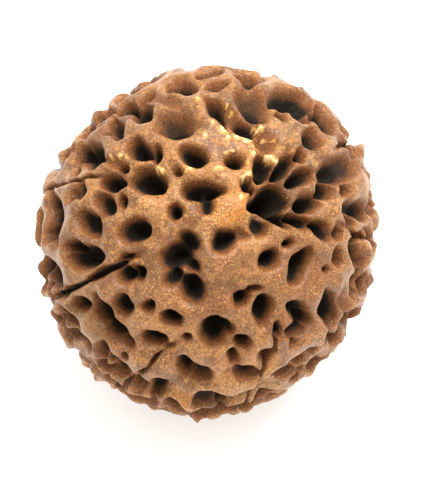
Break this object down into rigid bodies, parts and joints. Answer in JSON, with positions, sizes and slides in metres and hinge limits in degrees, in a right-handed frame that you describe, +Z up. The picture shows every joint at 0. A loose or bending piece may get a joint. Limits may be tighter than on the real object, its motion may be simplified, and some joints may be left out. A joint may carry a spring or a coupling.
{
  "type": "rudraksha seed",
  "caption": "Round woody seed stone with a net of ridges round deep pits, radial clefts and a hollow stem end.",
  "frame": {"origin": "centre of the seed's footprint, on the surface that it rests on", "axes": "+Z is up, -Y is the side that was seen, and the stem end points up, forward and a little to +X"},
  "size_m": [0.0244, 0.0248, 0.0235],
  "materials": {
    "seed_wood": "dry woody stone, warm brown on the ridges and near black in the pits, slightly waxy from handling"
  },
  "bodies": {
    "root": {"seed": "seed_wood"}
  },
  "joints": []
}
